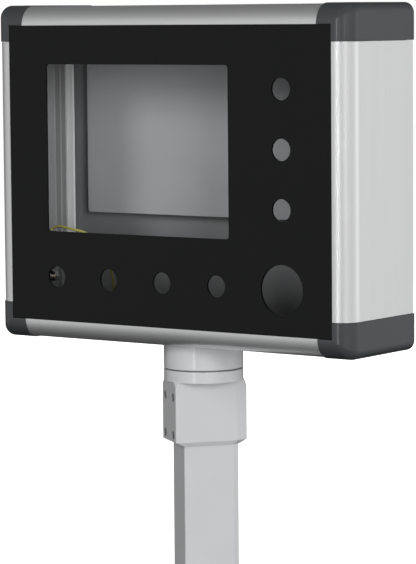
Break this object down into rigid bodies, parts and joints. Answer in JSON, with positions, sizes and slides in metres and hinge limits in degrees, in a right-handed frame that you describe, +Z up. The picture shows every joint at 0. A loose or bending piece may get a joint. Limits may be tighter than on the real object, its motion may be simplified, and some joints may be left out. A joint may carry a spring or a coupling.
{
  "type": "operator panel enclosure on swivel coupling",
  "caption": "Aluminium operator panel housing with black front plate, display cut-out and round holes, rear door, swivel coupling, clamp and rectangular support tube.",
  "frame": {"origin": "on the swivel axis, at the lower end of the support tube", "axes": "+Z up along the swivel axis, the housing's front faces -Y, +X to the right seen from the front"},
  "size_m": [0.448, 0.1289, 0.591],
  "materials": {
    "aluminium_profile": "finely brushed along the extrusion, clear anodised",
    "panel_black": "black anodised, satin",
    "cap_grey": "dark grey, semi-gloss",
    "coupling_paint": "light grey powder coat, satin",
    "door_paint": "mid grey powder coat",
    "plate_paint": "light grey, satin",
    "steel": "bright steel",
    "zinc_plated": "zinc plated",
    "tinned_copper": "tinned copper",
    "seal_rubber": "matt black",
    "bearing_polymer": "natural bearing polymer",
    "wire_coat": "green insulation with yellow stripe"
  },
  "bodies": {
    "support": {"clamp_body": "coupling_paint", "retaining_ring": "zinc_plated", "pressure_plate": "steel", "clamp_screw_1": "zinc_plated", "clamp_screw_2": "zinc_plated", "clamp_screw_3": "zinc_plated", "clamp_screw_4": "zinc_plated", "support_tube": "coupling_paint"},
    "head": {"front_panel": "panel_black", "panel_seal": "seal_rubber", "swivel_seal": "seal_rubber", "profile_top": "aluminium_profile", "profile_bottom": "aluminium_profile", "profile_left": "aluminium_profile", "profile_right": "aluminium_profile", "corner_cap_top_left": "cap_grey", "corner_cap_top_right": "cap_grey", "corner_cap_bottom_left": "cap_grey", "corner_cap_bottom_right": "cap_grey", "corner_key_top_left": "zinc_plated", "corner_key_top_right": "zinc_plated", "corner_key_bottom_left": "zinc_plated", "corner_key_bottom_right": "zinc_plated", "panel_clamp_top_left": "zinc_plated", "panel_clamp_top_right": "zinc_plated", "panel_clamp_bottom_left": "zinc_plated", "panel_clamp_bottom_right": "zinc_plated", "earth_wire": "wire_coat", "panel_earth_stud": "steel", "panel_earth_lug": "tinned_copper", "panel_earth_nut": "steel", "frame_earth_stud": "steel", "frame_earth_lug": "tinned_copper", "frame_earth_nut": "steel", "coupling_flange": "coupling_paint", "reinforcing_plate": "zinc_plated", "flange_screw_1": "steel", "flange_screw_2": "steel", "flange_screw_3": "steel", "flange_screw_4": "steel", "bearing_bush": "bearing_polymer", "stop_pin": "steel", "frame_hinge_1": "steel", "frame_hinge_2": "steel", "hinge_pin_1": "steel", "hinge_pin_2": "steel"},
    "door": {"rear_door": "door_paint", "door_seal": "seal_rubber", "mounting_plate": "plate_paint", "plate_standoff_bottom_left": "steel", "plate_standoff_top_left": "steel", "plate_standoff_bottom_right": "steel", "plate_standoff_top_right": "steel", "door_hinge_1": "steel", "door_hinge_2": "steel", "lock_housing_1": "steel", "lock_housing_2": "steel"},
    "lock_1": {"lock_cam_1": "zinc_plated"},
    "lock_2": {"lock_cam_2": "zinc_plated"}
  },
  "joints": [
    {"name": "head_swivel", "type": "hinge", "parent": "support", "child": "head", "pos_m": [0, 0, 0.2135], "axis": [0, 0, 1], "range_deg": [-186.2, 113.8]},
    {"name": "door_hinge", "type": "hinge", "parent": "head", "child": "door", "pos_m": [-0.2187, 0.0593, 0.415], "axis": [0, 0, 1], "range_deg": [0, 120]},
    {"name": "lock_1_turn", "type": "hinge", "parent": "door", "child": "lock_1", "pos_m": [0.188, 0.05, 0.34], "axis": [0, -1, 0], "range_deg": [0, 90]},
    {"name": "lock_2_turn", "type": "hinge", "parent": "door", "child": "lock_2", "pos_m": [0.188, 0.05, 0.49], "axis": [0, -1, 0], "range_deg": [0, 90]}
  ]
}
